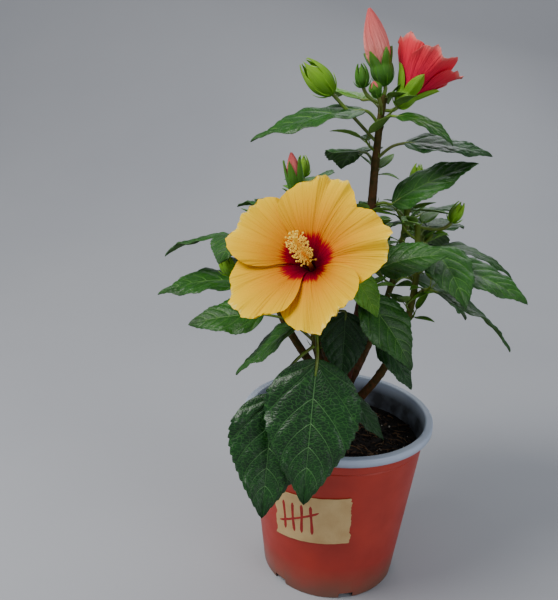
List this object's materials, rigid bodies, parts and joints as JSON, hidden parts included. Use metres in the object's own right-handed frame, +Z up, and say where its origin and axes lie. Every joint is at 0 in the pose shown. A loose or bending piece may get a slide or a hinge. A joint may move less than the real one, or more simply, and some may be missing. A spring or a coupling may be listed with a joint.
{
  "type": "potted hibiscus shrub",
  "caption": "Young flowering shrub in a round tapered plastic pot: forked woody stem, broad pointed leaves, one wide open yellow bloom and a tall stem with salmon buds.",
  "frame": {"origin": "middle of the pot's flat underside", "axes": "+Z up along the pot, -Y towards the side that the open yellow bloom faces, +X to the right of that view"},
  "size_m": [0.3149, 0.2908, 0.492],
  "materials": {
    "pot_plastic": "satin",
    "pot_rim": "satin",
    "soil": "matte",
    "paper_tape": "matte",
    "bark": "matte",
    "leaf": "satin",
    "young_leaf": "satin",
    "petal_yellow": "matte",
    "petal_salmon": "matte",
    "petal_eye": "matte",
    "stamen": "matte"
  },
  "bodies": {
    "root": {"pot": "pot_plastic", "soil": "soil", "label_tape": "paper_tape", "trunk": "bark", "bough_leader": "bark", "bough_front": "bark", "bough_left": "bark", "bough_right": "bark", "bough_back_left": "bark", "bough_back_right": "bark", "foliage_front": "leaf", "foliage_crown_mid": "leaf", "foliage_crown_top": "leaf", "foliage_left": "leaf", "foliage_right": "leaf", "foliage_back_left": "leaf", "foliage_back_right": "leaf", "bloom_yellow": "petal_yellow"}
  },
  "joints": []
}
